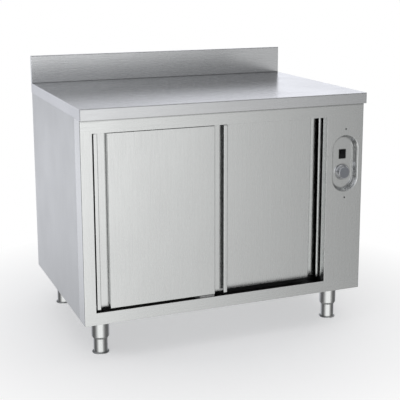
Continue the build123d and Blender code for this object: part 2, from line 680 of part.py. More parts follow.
# ---- shelf ----------------------------------------------------------------------------------
def make_shelf():
    """A shelf with hemmed front and rear edges and air slots along both ends."""
    x0, x1 = left_liner_face + SHELF_END_GAP, partition_face - SHELF_END_GAP
    y0, y1 = cabinet_front + SHELF_SETBACK, rear_liner_face - SHELF_REAR_GAP
    low = shelf_top - SHELF_EDGE
    path = [(y0 + SHELF_HEM, low), (y0, low), (y0, shelf_top),
            (y1, shelf_top), (y1, low), (y1 - SHELF_HEM, low)]
    shelf = folded_along_x(path, SHEET, x0, x1)
    pitch = (y1 - y0 - 2 * SHELF_EDGE - SHELF_SLOT_LENGTH) / (SHELF_SLOT_COUNT - 1)
    half = SHELF_SLOT_WIDTH / 2
    for x in (x0 + SHELF_SLOT_INSET, x1 - SHELF_SLOT_INSET):
        for i in range(SHELF_SLOT_COUNT):
            y = y0 + SHELF_EDGE + i * pitch
            shelf = shelf - block(x - half, x + half, y, y + SHELF_SLOT_LENGTH,
                                  shelf_top - 2 * SHEET, shelf_top + SHEET)
    return shelf


def make_shelf_bearer(right):
    """An angle on the liner that carries one end of the shelf."""
    top = shelf_top - SHEET
    inset = SHELF_SETBACK + SHELF_HEM + BEARER_BEHIND_HEM
    y0, y1 = cabinet_front + inset, rear_liner_face - inset
    wall = partition_face if right else left_liner_face
    side = -1 if right else 1
    path = [(wall, top - BEARER_WIDTH), (wall, top), (wall + side * BEARER_WIDTH, top)]
    if right:
        path.reverse()
    section = Plane(origin=(0, y0, 0), x_dir=(1, 0, 0), z_dir=(0, -1, 0)) * bent_strip(path, SHEET)
    return extrude(section, amount=y1 - y0, dir=(0, 1, 0))


# ---- door track and floor guide -------------------------------------------------------------
def rail_y(door_face):
    return door_face + RAIL_FROM_FACE


def make_door_track():
    """Two upturned rails hung from one plate."""
    hook = rail_top - RAIL_RISE
    half = TRACK_SHEET / 2
    x0, x1 = left_liner_face, partition_face
    first = rail_y(front_door_face) - HOOK_FRONT
    last = rail_y(rear_door_face) + 3 * TRACK_SHEET
    track = block(x0, x1, first, last, track_top - TRACK_SHEET, track_top)
    for face in (front_door_face, rear_door_face):
        y = rail_y(face)
        path = [(y + half, rail_top), (y + half, hook), (y - HOOK_FRONT, hook), (y - HOOK_FRONT, track_top)]
        track = track + folded_along_x(path, TRACK_SHEET, x0, x1)
    return track


def make_bottom_guide():
    """A block in the trough with a fin that runs in each door's lower slot."""
    x0 = rear_door_left - GUIDE_BEFORE_DOOR
    low, top = trough_bottom + SHEET, door_bottom - GUIDE_GAP
    guide = block(x0, x0 + GUIDE_LENGTH, front_door_face - GUIDE_FRONT_SHOW,
                  rear_door_face + DOOR_THICK - GUIDE_BACK_INSET, low, top)
    fin_x = rear_door_left + GUIDE_FIN_INSET
    for face in (front_door_face, rear_door_face):
        y = face + DOOR_EDGE_FLANGE + DOOR_SLOT / 2
        guide = guide + block(fin_x, fin_x + GUIDE_FIN_LENGTH, y - GUIDE_FIN_THICK / 2, y + GUIDE_FIN_THICK / 2,
                              low, door_bottom + GUIDE_FIN_RISE)
    return guide


# ---- sliding doors --------------------------------------------------------------------------
def make_door_skin(x0, face):
    """One sheet: flat panel, a recessed grip at each end and a hooked lip that the fingers pull."""
    t = DOOR_SHEET
    w = door_width
    grip = LIP_WIDTH + GRIP_GAP
    floor = GRIP_DEPTH + t
    half_path = [(LIP_WIDTH, LIP_HEM), (LIP_WIDTH, 0.0), (0.0, 0.0),
                 (0.0, floor), (grip + t, floor), (grip + t, t)]
    path = half_path + [(w - x, y) for x, y in reversed(half_path)]
    skin = folded_along_z([(x0 + x, face + y) for x, y in path], t, door_bottom, door_top, DOOR_FOLD)
    for z in (door_bottom, door_top - t):
        skin = skin + block(x0 + grip + t, x0 + w - grip - t, face + t / 2, face + DOOR_EDGE_FLANGE, z, z + t)
    slot_height = GUIDE_FIN_RISE + GUIDE_FIN_GAP
    return skin - block(x0 - t, x0 + w + t, face + DOOR_EDGE_FLANGE, face + DOOR_EDGE_FLANGE + DOOR_SLOT,
                        door_bottom - t, door_bottom + slot_height)


def make_door_back(x0, face):
    """The pan that closes the back of the door."""
    t = DOOR_SHEET
    x1 = x0 + door_width
    back = face + DOOR_THICK
    grip = LIP_WIDTH + GRIP_GAP + 2 * t
    pan = block(x0, x1, face + GRIP_DEPTH + t, back, door_bottom, door_top)
    pan = pan - block(x0 + t, x1 - t, face, back - t, door_bottom + t, door_top - t)
    top = block(x0 + grip, x1 - grip, face + DOOR_EDGE_FLANGE, back - t, door_top - t, door_top)
    foot = block(x0 + grip, x1 - grip, face + DOOR_EDGE_FLANGE + DOOR_SLOT, back - t,
                 door_bottom, door_bottom + t)
    return pan + top + foot


def roller_xs(x0):
    return (x0 + ROLLER_INSET, x0 + door_width - ROLLER_INSET)


def make_hanger(x, face):
    """An angle on the door's upper edge that carries one roller."""
    y = rail_y(face) + ROLLER_WIDTH / 2 + HANGER_BEHIND_ROLLER
    half = HANGER_WIDTH / 2
    top = roller_axis + ROLLER_GROOVE_RADIUS
    upright = block(x - half, x + half, y, y + HANGER_THICK, door_top, top)
    corners = upright.edges().filter_by(Axis.Y).group_by(Axis.Z)[-1]
    upright = fillet(corners, HANGER_CORNER)
    foot = block(x - half, x + half, y, face + DOOR_THICK - DOOR_SHEET, door_top, door_top + HANGER_THICK)
    return upright + foot - cylinder(PIN_RADIUS, "Y", y - HANGER_THICK, y + 2 * HANGER_THICK, x, roller_axis)


def make_roller_pin(x, face):
    y = rail_y(face)
    front = y - ROLLER_WIDTH / 2 - ROLLER_SIDE_PLAY
    back = y + ROLLER_WIDTH / 2 + HANGER_BEHIND_ROLLER + HANGER_THICK
    head = cylinder(PIN_HEAD_RADIUS, "Y", front - PIN_HEAD, front, x, roller_axis)
    return head + cylinder(PIN_RADIUS, "Y", front, back, x, roller_axis)


def make_roller(x, face):
    """A grooved wheel that rides on the rail's edge."""
    y = rail_y(face)
    half = ROLLER_WIDTH / 2
    bore = PIN_RADIUS + PIN_CLEARANCE
    r0, r1 = ROLLER_GROOVE_RADIUS, ROLLER_RADIUS
    corners = [(bore, -half), (r1, -half), (r1, -half * 0.7), (r0, -half * 0.32),
               (r0, half * 0.32), (r1, half * 0.7), (r1, half), (bore, half)]
    section = make_face(Polyline(*[(r, y + v) for r, v in corners], close=True))
    face_at_axis = Plane(origin=(x, 0, roller_axis), x_dir=(1, 0, 0), z_dir=(0, 0, 1)) * section
    return revolve(face_at_axis, axis=Axis((x, 0, roller_axis), (0, 1, 0)))


# ---- controls -------------------------------------------------------------------------------
def make_control_dish():
    """A pressed recess behind the frame's cut-out, held by two screws through its ears."""
    wall = DISH_HALF_WIDTH - COLLAR_ROLL + SHEET + DISH_COLLAR_GAP
    turn = body_front + COLLAR_DEPTH + DISH_SHOULDER
    path = [(wall + DISH_FLANGE, frame_inside), (wall, frame_inside), (wall, turn),
            (DISH_HALF_WIDTH - DISH_FLOOR_INSET, dish_floor), (0.0, dish_floor)]
    section = bent_strip(path, DISH_SHEET, DISH_FOLD, rounded=(1, 3))
    dish = stadium_press(section, dish_x, dish_z, DISH_STRAIGHT)
    ear = DISH_EAR
    for x, z in dish_screw_points():
        inward = z + (DISH_FLANGE + ear) * (1 if z < dish_z else -1)
        low, high = min(z, inward), max(z, inward)
        dish = dish + block(x - ear, x + ear, frame_inside, frame_inside + DISH_SHEET, low, high)
        dish = dish + cylinder(ear, "Y", frame_inside, frame_inside + DISH_SHEET, x, z)
        dish = dish - cylinder(DISH_SCREW_RADIUS, "Y", frame_inside - SHEET, frame_inside + 2 * SHEET, x, z)
    half_x, half_z = SWITCH_WIDTH / 2 - SWITCH_CASE_INSET, SWITCH_HEIGHT / 2 - SWITCH_CASE_INSET
    dish = dish - block(dish_x - half_x, dish_x + half_x, dish_floor - SHEET, dish_floor + 2 * SHEET,
                        switch_z - half_z, switch_z + half_z)
    return dish - cylinder(SPINDLE_RADIUS + SPINDLE_HOLE_CLEARANCE, "Y", dish_floor - SHEET,
                           dish_floor + 2 * SHEET, dish_x, knob_z)


def make_dish_screw(x, z):
    head = cylinder(DISH_SCREW_HEAD_RADIUS, "Y", body_front - DISH_SCREW_HEAD, body_front, x, z)
    return head + cylinder(DISH_SCREW_RADIUS - DISH_SCREW_CLEARANCE, "Y", body_front,
                           frame_inside + DISH_SHEET + DISH_SCREW_TIP, x, z)


def make_switch_body():
    """Bezel and case of the rocker switch."""
    half_x, half_z = SWITCH_WIDTH / 2, SWITCH_HEIGHT / 2
    left, right = dish_x - half_x, dish_x + half_x
    bezel = block(left, right, switch_front, dish_floor, switch_z - half_z, switch_z + half_z)
    bezel = fillet(bezel.edges().group_by(Axis.Y)[0], SWITCH_CORNER)
    back = dish_floor + SWITCH_BODY_DEPTH
    case_x, case_z = half_x - SWITCH_CASE_INSET, half_z - SWITCH_CASE_INSET
    case = block(dish_x - case_x, dish_x + case_x, dish_floor, back, switch_z - case_z, switch_z + case_z)
    well_x, well_z = half_x - SWITCH_RIM, half_z - SWITCH_RIM
    well = block(dish_x - well_x, dish_x + well_x, switch_front - SWITCH_BEZEL, back - SWITCH_BACK_WALL,
                 switch_z - well_z, switch_z + well_z)
    pivot = cylinder(ROCKER_PIVOT_RADIUS + PIN_CLEARANCE, "X", left, right, rocker_y, switch_z)
    body = bezel + case - well - pivot
    for row in (-1, 0, 1):
        z = switch_z + row * SWITCH_TERMINAL_PITCH
        body = body + block(dish_x - BLADE_WIDTH / 2, dish_x + BLADE_WIDTH / 2, back - 1.0, back + BLADE_LENGTH,
                            z - BLADE_THICK / 2, z + BLADE_THICK / 2)
    return body


def make_rocker():
    """The rocker, resting with its lower half pressed in."""
    radius = SWITCH_HEIGHT / 2 - SWITCH_RIM - ROCKER_CLEARANCE
    half_width = SWITCH_WIDTH / 2 - SWITCH_RIM - ROCKER_CLEARANCE
    rise = ROCKER_CROWN + radius * math.tan(math.radians(ROCKER_TILT))
    outline = make_face(Polyline((-ROCKER_CROWN, 0.0), (-rise, radius), (ROCKER_ROOT, radius),
                                 (ROCKER_ROOT, -radius), (-rise, -radius), close=True))
    section = outline & Circle(radius)
    solid = extrude(Plane.YZ.offset(-half_width) * section, amount=2 * half_width, dir=(1, 0, 0))
    pin = SWITCH_WIDTH / 2 - SWITCH_CASE_INSET - ROCKER_CLEARANCE
    solid = solid + extrude(Plane.YZ.offset(-pin) * Circle(ROCKER_PIVOT_RADIUS), amount=2 * pin, dir=(1, 0, 0))
    return Pos(dish_x, rocker_y, switch_z) * Rot(ROCKER_TILT, 0, 0) * solid


def make_knob():
    """A skirted dial knob with a flat face and a pointer notch."""
    base = dish_floor - KNOB_GAP
    edge = KNOB_SKIRT_EDGE
    corners = [(0.0, 0.0), (KNOB_SKIRT_RADIUS, 0.0), (KNOB_SKIRT_RADIUS, edge),
               (KNOB_SKIRT_RADIUS - 1.1 * edge, 2.1 * edge),
               (KNOB_FACE_RADIUS + 0.4 * edge, KNOB_HEIGHT - edge),
               (KNOB_FACE_RADIUS, KNOB_HEIGHT - 0.3 * edge),
               (KNOB_FACE_RADIUS - 0.45 * edge, KNOB_HEIGHT), (0.0, KNOB_HEIGHT)]
    section = make_face(Polyline(*[(r, base - h) for r, h in corners], close=True))
    upright = Plane(origin=(dish_x, 0, knob_z), x_dir=(1, 0, 0), z_dir=(0, 0, 1))
    knob = revolve(upright * section, axis=Axis((dish_x, 0, knob_z), (0, 1, 0)))
    front = base - KNOB_HEIGHT
    half = KNOB_POINTER_WIDTH / 2
    pointer_z = knob_z + KNOB_POINTER_START
    knob = knob - block(dish_x - half, dish_x + half, front - KNOB_POINTER_DEPTH, front + KNOB_POINTER_DEPTH,
                        pointer_z, pointer_z + KNOB_POINTER_LENGTH)
    return knob - cylinder(SPINDLE_RADIUS, "Y", base - KNOB_SEAT, base + KNOB_GAP, dish_x, knob_z)


def make_thermostat_spindle():
    return cylinder(SPINDLE_RADIUS, "Y", dish_floor - KNOB_GAP - KNOB_SEAT,
                    dish_floor + DISH_SHEET + SPINDLE_SEAT, dish_x, knob_z)


def make_thermostat():
    """The thermostat's case, with its terminals, screwed behind the dish."""
    half = THERMOSTAT_SIDE / 2
    y0 = dish_floor + DISH_SHEET
    case = block(dish_x - half, dish_x + half, y0, y0 + THERMOSTAT_DEPTH, knob_z - half, knob_z + half)
    case = chamfer(case.edges().filter_by(Axis.Y), THERMOSTAT_CORNER)
    case = case - cylinder(SPINDLE_RADIUS + PIN_CLEARANCE, "Y", y0 - DISH_SHEET,
                           y0 + SPINDLE_SEAT + SPINDLE_HOLE_CLEARANCE, dish_x, knob_z)
    back = y0 + THERMOSTAT_DEPTH
    for side in (-1, 1):
        x = dish_x + side * half / 2
        case = case + block(x - BLADE_WIDTH / 2, x + BLADE_WIDTH / 2, back - 1.0, back + BLADE_LENGTH,
                            knob_z - BLADE_THICK / 2, knob_z + BLADE_THICK / 2)
    return case


# ---- air circuit ----------------------------------------------------------------------------
def make_heater_duct():
    """A box on the partition that holds the fan wheel and the heating element."""
    wall = DUCT_SHEET
    x0 = partition_face + SHEET

    def slab(start, end, grow):
        half_y, half_z = DUCT_WIDTH / 2 + grow, DUCT_HEIGHT / 2 + grow
        return block(start, end, fan_y - half_y, fan_y + half_y, fan_z - half_z, fan_z + half_z)

    box = slab(x0, duct_back, 0.0) + slab(x0, x0 + wall, DUCT_FLANGE)
    box = box - slab(x0 - wall, duct_back - wall, -wall)
    box = box - cylinder(SHAFT_RADIUS + SHAFT_HOLE_CLEARANCE, "X", duct_back - 2 * wall, duct_back + wall,
                         fan_y, fan_z)
    for y, z in heater_ends():
        box = box - cylinder(HEATER_END_RADIUS, "X", duct_back - 2 * wall, duct_back + wall, y, z)
    return box


def heater_ends():
    """Where the element's two ends pass through the duct."""
    return [(fan_y + side * HEATER_GAP / 2, fan_z - HEATER_HALF) for side in (-1, 1)]


def make_heating_element():
    """A sheathed element in a square loop round the fan wheel, its ends turned out through the duct."""
    x = duct_back - HEATER_FROM_BACK
    h, g = HEATER_HALF, HEATER_GAP / 2
    loop = FilletPolyline((-g, -h), (-h, -h), (-h, h), (h, h), (h, -h), (g, -h), radius=HEATER_BEND)
    face = Plane(origin=(x, fan_y, fan_z), x_dir=(0, 1, 0), z_dir=(1, 0, 0))
    path = face * loop
    tube = sweep(Plane(origin=path @ 0, z_dir=path % 0) * Circle(HEATER_TUBE_RADIUS), path=path)
    for y, z in heater_ends():
        tube = tube + cylinder(HEATER_END_RADIUS, "X", x - HEATER_END_RADIUS, duct_back + HEATER_TERMINAL, y, z)
    return tube


def make_fan_wheel():
    """A radial wheel: back plate, hub and backward-curved blades on the motor's shaft."""
    back = duct_back - FAN_FROM_BACK
    wheel = cylinder(FAN_RADIUS, "X", back - FAN_PLATE, back, fan_y, fan_z)
    wheel = wheel + cylinder(FAN_HUB_RADIUS, "X", back - FAN_WIDTH, back, fan_y, fan_z)
    wheel = wheel + cylinder(SHAFT_RADIUS, "X", back, motor_front + SHAFT_SEAT, fan_y, fan_z)
    outer = FAN_RADIUS - FAN_BLADE_EDGE
    middle = (FAN_BLADE_INNER + outer) / 2
    swept = math.radians(FAN_BLADE_SWEEP)
    path = [(FAN_BLADE_INNER, 0.0), (middle * math.cos(swept / 4), middle * math.sin(swept / 4)),
            (outer * math.cos(swept), outer * math.sin(swept))]
    blade = extrude(bent_strip(path, FAN_BLADE, FAN_BLADE_FOLD), amount=FAN_WIDTH)
    stand = Plane(origin=(back - FAN_WIDTH, fan_y, fan_z), x_dir=(0, 1, 0), z_dir=(1, 0, 0))
    for i in range(FAN_BLADES):
        wheel = wheel + stand * Rot(0, 0, i * 360.0 / FAN_BLADES) * blade
    return wheel


def make_fan_bracket():
    """A folded strap that stands the motor off the hot duct."""
    rise = MOTOR_RADIUS + BRACKET_BESIDE_MOTOR
    reach = rise + BRACKET_FOOT
    crown = motor_front - BRACKET_SHEET
    path = [(duct_back, -reach), (duct_back, -rise), (crown, -rise),
            (crown, rise), (duct_back, rise), (duct_back, reach)]
    strap = folded_along_z([(x, fan_y + y) for x, y in path], BRACKET_SHEET,
                           fan_z - BRACKET_HALF_WIDTH, fan_z + BRACKET_HALF_WIDTH)
    return strap - cylinder(SHAFT_RADIUS + SHAFT_HOLE_CLEARANCE, "X", duct_back, motor_front + BRACKET_SHEET,
                            fan_y, fan_z)


def make_fan_motor():
    """A closed motor with a cooling step, bored for its shaft."""
    motor = cylinder(MOTOR_RADIUS, "X", motor_front, motor_front + MOTOR_COLLAR, fan_y, fan_z)
    motor = motor + cylinder(MOTOR_CAP_RADIUS, "X", motor_front, motor_front + MOTOR_LENGTH, fan_y, fan_z)
    return motor - cylinder(SHAFT_RADIUS + PIN_CLEARANCE, "X", motor_front - BRACKET_SHEET,
                            motor_front + SHAFT_SEAT + BRACKET_SHEET, fan_y, fan_z)


def make_safety_thermostat():
    """A snap-disc cut-out on the duct's wall, with two blade terminals."""
    y, z = fan_y - CUTOUT_OFFSET, fan_z + CUTOUT_OFFSET
    disc = cylinder(CUTOUT_RADIUS, "X", duct_back, duct_back + CUTOUT_DEPTH, y, z)
    for side in (-1, 1):
        blade = y + side * CUTOUT_RADIUS / 2
        disc = disc + block(duct_back + CUTOUT_DEPTH / 2, duct_back + CUTOUT_DEPTH + BLADE_LENGTH,
                            blade - BLADE_THICK / 2, blade + BLADE_THICK / 2,
                            z - BLADE_WIDTH / 2, z + BLADE_WIDTH / 2)
    return disc


def make_terminal_block():
    """A strip of screw terminals on the base, each with a wire way through it and a well for its screw."""
    x0 = gland_x - TERMINAL_WAYS * TERMINAL_PITCH / 2
    y0 = rear_panel_inside - TERMINAL_FROM_REAR
    y1 = y0 + TERMINAL_DEPTH
    top = base_top + TERMINAL_HEIGHT
    low = base_top + TERMINAL_BORE_HEIGHT
    middle = (y0 + y1) / 2
    half = TERMINAL_BORE / 2
    strip = block(x0, x0 + TERMINAL_WAYS * TERMINAL_PITCH, y0, y1, base_top, top)
    for i in range(TERMINAL_WAYS):
        x = x0 + (i + 0.5) * TERMINAL_PITCH
        strip = strip - block(x - half, x + half, y0 - half, y1 + half, low, low + TERMINAL_BORE)
        strip = strip - block(x - half, x + half, middle - TERMINAL_WELL / 2, middle + TERMINAL_WELL / 2,
                              top - TERMINAL_WELL_DEPTH, top + half)
    return strip


def make_cable_gland():
    """The supply cable's gland, clamped in the base by its nut and bored through for the cable."""
    collar_low = base_bottom - GLAND_COLLAR
    mouth = base_bottom - GLAND_DROP
    top = base_top + GLAND_NUT + GLAND_THREAD_SHOW
    section = make_face(Polyline((GLAND_BORE, mouth), (GLAND_MOUTH_RADIUS, mouth),
                                 (GLAND_NOSE_RADIUS, mouth + GLAND_NOSE_TAPER),
                                 (GLAND_NOSE_RADIUS, base_bottom), (GLAND_BORE, base_bottom), close=True))
    gland = Pos(gland_x, gland_y, 0) * revolve(Plane.XZ * section, axis=Axis.Z)
    gland = gland + hex_head(GLAND_FLATS, GLAND_COLLAR, gland_x, gland_y, collar_low)
    gland = gland + cylinder(GLAND_RADIUS, "Z", collar_low, top, gland_x, gland_y)
    gland = gland + hex_head(GLAND_NUT_FLATS, GLAND_NUT, gland_x, gland_y, base_top)
    return gland - cylinder(GLAND_BORE, "Z", mouth - SHEET, top + SHEET, gland_x, gland_y)


# ---- legs -----------------------------------------------------------------------------------
def make_leg(x, y):
    """Plate, tube with a swaged neck, and the fixed spindle that the foot screws along."""
    plate_bottom = base_bottom - LEG_PLATE_THICK
    half = LEG_PLATE / 2
    plate = block(-half, half, -half, half, plate_bottom, base_bottom)
    plate = chamfer(plate.edges().filter_by(Axis.Z), LEG_PLATE_CORNER)
    bore = FOOT_STEM_RADIUS + FOOT_CLEARANCE
    inside = LEG_RADIUS - LEG_WALL
    tube = make_face(Polyline((inside, plate_bottom), (LEG_RADIUS, plate_bottom),
                              (LEG_RADIUS, LEG_NECK_TOP),
                              (bore + LEG_NECK_LIP, LEG_NECK_BOTTOM), (bore, LEG_NECK_BOTTOM),
                              (bore, LEG_NECK_BOTTOM + LEG_NECK_LIP), (inside, LEG_NECK_TOP + LEG_NECK_LIP),
                              close=True))
    leg = plate + revolve(Plane.XZ * tube, axis=Axis.Z)
    leg = leg + cylinder(SPINDLE_THREAD_RADIUS, "Z", SPINDLE_BOTTOM, plate_bottom, 0, 0)
    half = LEG_SCREW_SPACING / 2
    for sx in (-half, half):
        for sy in (-half, half):
            leg = leg - cylinder(LEG_SCREW_RADIUS + LEG_SCREW_CLEARANCE, "Z", plate_bottom - SHEET,
                                 base_bottom + SHEET, sx, sy)
    return Pos(x, y, 0) * leg


def make_foot(x, y):
    """A sleeve with a floor flange, and a nut web near its top."""
    r, w = FOOT_STEM_RADIUS, FOOT_FLANGE_RADIUS
    t, b = FOOT_FLANGE_THICK, FOOT_FLANGE_BEVEL
    inside = r - FOOT_WALL
    nut = SPINDLE_THREAD_RADIUS + FOOT_CLEARANCE
    web = FOOT_TOP - FOOT_NUT_HEIGHT
    corners = [(0.0, 0.0), (w - b, 0.0), (w, b), (w, t - b), (w - b, t), (r + FOOT_WALL, t + b / 2),
               (r, t + 2 * b), (r, FOOT_TOP), (nut, FOOT_TOP), (nut, web), (inside, web), (inside, t), (0.0, t)]
    section = make_face(Polyline(*corners, close=True))
    return Pos(x, y, 0) * revolve(Plane.XZ * section, axis=Axis.Z)


def make_leg_screw(x, y):
    plate_bottom = base_bottom - LEG_PLATE_THICK
    head = hex_head(LEG_SCREW_FLATS, LEG_SCREW_HEAD, x, y, plate_bottom - LEG_SCREW_HEAD)
    return head + cylinder(LEG_SCREW_RADIUS, "Z", plate_bottom, base_top + LEG_SCREW_TIP, x, y)


def make_rear_screw(x, z):
    head = cylinder(REAR_SCREW_HEAD_RADIUS, "Y", body_back, body_back + REAR_SCREW_HEAD, x, z)
    return head + cylinder(REAR_SCREW_RADIUS, "Y", rear_panel_inside - REAR_SCREW_TIP, body_back, x, z)


# ---- assembly -------------------------------------------------------------------------------
def group(solids):
    return Compound(children=[s.solid() if hasattr(s, "solid") else s for s in solids])


def build_parts():
    parts = {
        "worktop": make_worktop(),
        "worktop_stiffener_front": make_worktop_stiffener(-STIFFENER_SPACING / 2),
        "worktop_stiffener_rear": make_worktop_stiffener(STIFFENER_SPACING / 2),
        "front_frame": make_front_frame(),
        "left_side_panel": make_side_panel(right=False),
        "right_side_panel": make_side_panel(right=True),
        "rear_panel": make_rear_panel(),
        "rear_panel_screws": group([make_rear_screw(x, z) for x, z in rear_screw_points()]),
        "base_panel": make_base_panel(),
        "liner_left": make_liner_left(),
        "liner_rear": make_liner_rear(),
        "liner_ceiling": make_liner_ceiling(),
        "liner_floor": make_liner_floor(),
        "partition": make_partition(),
        "insulation_left": make_insulation_left(),
        "insulation_rear": make_insulation_rear(),
        "insulation_top": make_insulation_top(),
        "shelf": make_shelf(),
        "shelf_bearer_left": make_shelf_bearer(right=False),
        "shelf_bearer_right": make_shelf_bearer(right=True),
        "door_track": make_door_track(),
        "bottom_guide": make_bottom_guide(),
        "control_dish": make_control_dish(),
        "dish_screws": group([make_dish_screw(x, z) for x, z in dish_screw_points()]),
        "switch_body": make_switch_body(),
        "rocker": make_rocker(),
        "knob": make_knob(),
        "thermostat_spindle": make_thermostat_spindle(),
        "thermostat": make_thermostat(),
        "heater_duct": make_heater_duct(),
        "heating_element": make_heating_element(),
        "fan_wheel": make_fan_wheel(),
        "fan_bracket": make_fan_bracket(),
        "fan_motor": make_fan_motor(),
        "safety_thermostat": make_safety_thermostat(),
        "terminal_block": make_terminal_block(),
        "cable_gland": make_cable_gland(),
        "leg_screws": group([make_leg_screw(x, y) for x, y in leg_screw_points()]),
    }
    for corner, (x, y) in leg_points().items():
        parts["leg_" + corner] = make_leg(x, y)
        parts["foot_" + corner] = make_foot(x, y)
    doors = {"left_door": (front_door_left, front_door_face), "right_door": (rear_door_left, rear_door_face)}
    for door, (x0, face) in doors.items():
        parts[door + "_skin"] = make_door_skin(x0, face)
        parts[door + "_back"] = make_door_back(x0, face)
        parts[door + "_roller_pins"] = group([make_roller_pin(x, face) for x in roller_xs(x0)])
        for side, x in zip(("left", "right"), roller_xs(x0)):
            parts[door + "_hanger_" + side] = make_hanger(x, face)
            parts[door + "_roller_" + side] = make_roller(x, face)
    return parts


os.makedirs("parts", exist_ok=True)
for node, shape in build_parts().items():
    export_step(shape, "parts/" + node + ".step")
print("door width", round(door_width, 2), "front door", front_door_left, "rear door", rear_door_left)
print("rollers at z", roller_axis, "legs", leg_points())
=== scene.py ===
import math

import bmesh
import bpy
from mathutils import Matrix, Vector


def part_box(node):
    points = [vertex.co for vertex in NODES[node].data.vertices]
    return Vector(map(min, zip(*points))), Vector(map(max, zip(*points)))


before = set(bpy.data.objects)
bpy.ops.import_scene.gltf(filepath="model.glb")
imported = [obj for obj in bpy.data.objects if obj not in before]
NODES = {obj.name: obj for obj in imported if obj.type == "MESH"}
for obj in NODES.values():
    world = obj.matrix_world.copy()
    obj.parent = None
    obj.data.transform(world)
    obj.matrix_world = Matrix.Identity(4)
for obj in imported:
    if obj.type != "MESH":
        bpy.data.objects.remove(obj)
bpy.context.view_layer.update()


# ---- shader nodes ---------------------------------------------------------------------------
NOISE_LOW, NOISE_HIGH = 0.3, 0.7     # most of a noise's values lie between these
NOISE_ROUGHNESS = 0.55


def cleared(owner):
    """A material or world with an empty node tree."""
    owner.use_nodes = True
    owner.node_tree.nodes.clear()
    return owner


def new_material(name):
    return cleared(bpy.data.materials.new(name))


def node(owner, kind, **settings):
    """A new node of a material or world; keyword values are its settings."""
    made = owner.node_tree.nodes.new(kind)
    for name, value in settings.items():
        setattr(made, name, value)
    return made


def feed(owner, socket, value):
    """Links another node's output to a socket, or sets the socket to a plain value."""
    if isinstance(value, bpy.types.NodeSocket):
        owner.node_tree.links.new(value, socket)
    elif socket.type == "RGBA":
        socket.default_value = (*value, 1.0)
    else:
        socket.default_value = value


def maths(owner, operation, first, second=0.0):
    """One step of arithmetic; an operation on a single number leaves the second out."""
    step = node(owner, "ShaderNodeMath", operation=operation)
    feed(owner, step.inputs[0], first)
    feed(owner, step.inputs[1], second)
    return step.outputs["Value"]


def total(owner, *terms):
    result = terms[0]
    for term in terms[1:]:
        result = maths(owner, "ADD", result, term)
    return result


def component(owner, vector, axis):
    """The part of a vector along X, Y or Z."""
    axes = node(owner, "ShaderNodeSeparateXYZ")
    feed(owner, axes.inputs["Vector"], vector)
    return axes.outputs[axis]


def remap(owner, source, low, high, start=NOISE_LOW, end=NOISE_HIGH):
    """source from start..end to low..high, clamped."""
    span = node(owner, "ShaderNodeMapRange")
    feed(owner, span.inputs["From Min"], start)
    feed(owner, span.inputs["From Max"], end)
    feed(owner, span.inputs["To Min"], low)
    feed(owner, span.inputs["To Max"], high)
    feed(owner, span.inputs["Value"], source)
    return span.outputs["Result"]


def blend(mat, kind, factor, first, second):
    """first where the factor is 0, second where it is 1; kind is RGBA or FLOAT."""
    mix = node(mat, "ShaderNodeMix", data_type=kind)
    feed(mat, mix.inputs["Factor"], factor)
    feed(mat, mix.inputs["A"], first)
    feed(mat, mix.inputs["B"], second)
    return mix.outputs["Result"]


def add_shaders(owner, first, second):
    both = node(owner, "ShaderNodeAddShader")
    feed(owner, both.inputs[0], first)
    feed(owner, both.inputs[1], second)
    return both.outputs["Shader"]


def stretched_noise(mat, rates, detail):
    """Noise over the object; rates are cycles per metre along X, Y and Z."""
    mapping = node(mat, "ShaderNodeMapping")
    feed(mat, mapping.inputs["Scale"], rates)
    feed(mat, mapping.inputs["Vector"], node(mat, "ShaderNodeTexCoord").outputs["Object"])
    noise = node(mat, "ShaderNodeTexNoise")
    feed(mat, noise.inputs["Scale"], 1.0)
    feed(mat, noise.inputs["Detail"], detail)
    feed(mat, noise.inputs["Roughness"], NOISE_ROUGHNESS)
    feed(mat, noise.inputs["Vector"], mapping.outputs["Vector"])
    return noise.outputs["Fac"]


def even_noise(mat, rate, detail=2.0):
    return stretched_noise(mat, (rate, rate, rate), detail)


def facing(mat, axis):
    """How far the surface faces along an axis, from -1 to 1."""
    return component(mat, node(mat, "ShaderNodeNewGeometry").outputs["Normal"], axis)


def height_above_floor(mat):
    return component(mat, node(mat, "ShaderNodeTexCoord").outputs["Object"], "Z")


def shaded(colour, amount):
    return tuple(channel * amount for channel in colour)


# ---- edges, and painted shade in creases ----------------------------------------------------
EDGE_SAMPLES = 4
ON_EDGE, OFF_EDGE = 0.80, 0.995      # how far the eased normal agrees with the plain one
SMALL_EDGE = 0.0004                  # radius of a moulded or plated edge, in metres

# Painted shade: the colour goes towards black where other surfaces stand close, by their ambient occlusion.
CREASE_SHADE_SAMPLES = 12
CREASE_SHADE_POWER = 2.0
PAINTED_SHADE_BLACK = (0.004, 0.004, 0.004)
SHUT, OPEN = 0.02, 0.85              # the open share of a black crease and of clear metal
TURNING, SIDEWAYS = 0.4, 0.9         # a face's X component as it starts and stops turning sideways


def eased_normal(mat, radius):
    """The surface's normal, rounded over along its edges."""
    rounded = node(mat, "ShaderNodeBevel", samples=EDGE_SAMPLES)
    feed(mat, rounded.inputs["Radius"], radius)
    return rounded.outputs["Normal"]


def edge_mask(mat, eased):
    """1 along convex and concave edges, 0 on flat metal."""
    agreement = node(mat, "ShaderNodeVectorMath", operation="DOT_PRODUCT")
    feed(mat, agreement.inputs[0], eased)
    feed(mat, agreement.inputs[1], node(mat, "ShaderNodeNewGeometry").outputs["Normal"])
    return remap(mat, agreement.outputs["Value"], 1.0, 0.0, ON_EDGE, OFF_EDGE)


